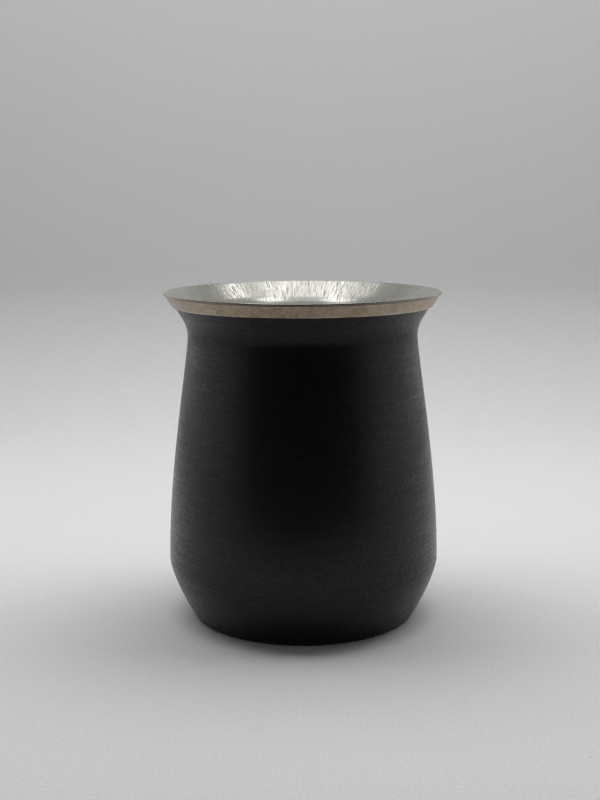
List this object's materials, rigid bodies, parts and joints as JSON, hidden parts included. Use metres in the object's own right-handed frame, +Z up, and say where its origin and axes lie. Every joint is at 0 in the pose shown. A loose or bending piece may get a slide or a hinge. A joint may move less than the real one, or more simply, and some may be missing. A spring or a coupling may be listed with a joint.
{
  "type": "mate cup",
  "caption": "Double-walled steel drinking cup with a flared funnel mouth, a bare rim band, a narrow neck, a wide belly and a black coated body.",
  "frame": {"origin": "centre of the foot, on the surface that the cup stands on", "axes": "+Z up along the cup's axis"},
  "size_m": [0.082, 0.082, 0.0975],
  "materials": {
    "black_coat": "satin black coat with fine turned lines",
    "band_steel": "fine brushed, bare",
    "liner_steel": "turned and polished, bare",
    "plate_steel": "pressed, mill finish",
    "cover_steel": "spun satin",
    "seal_glass": "fused solder glass, opaque",
    "getter_metal": "sintered, matte",
    "clip_steel": "cut strip"
  },
  "bodies": {
    "root": {"outer_shell": "black_coat", "rim_band": "band_steel", "inner_cup": "liner_steel", "base_plate": "plate_steel", "base_cover": "cover_steel", "seal_bead": "seal_glass", "getter": "getter_metal", "getter_clip": "clip_steel"}
  },
  "joints": []
}
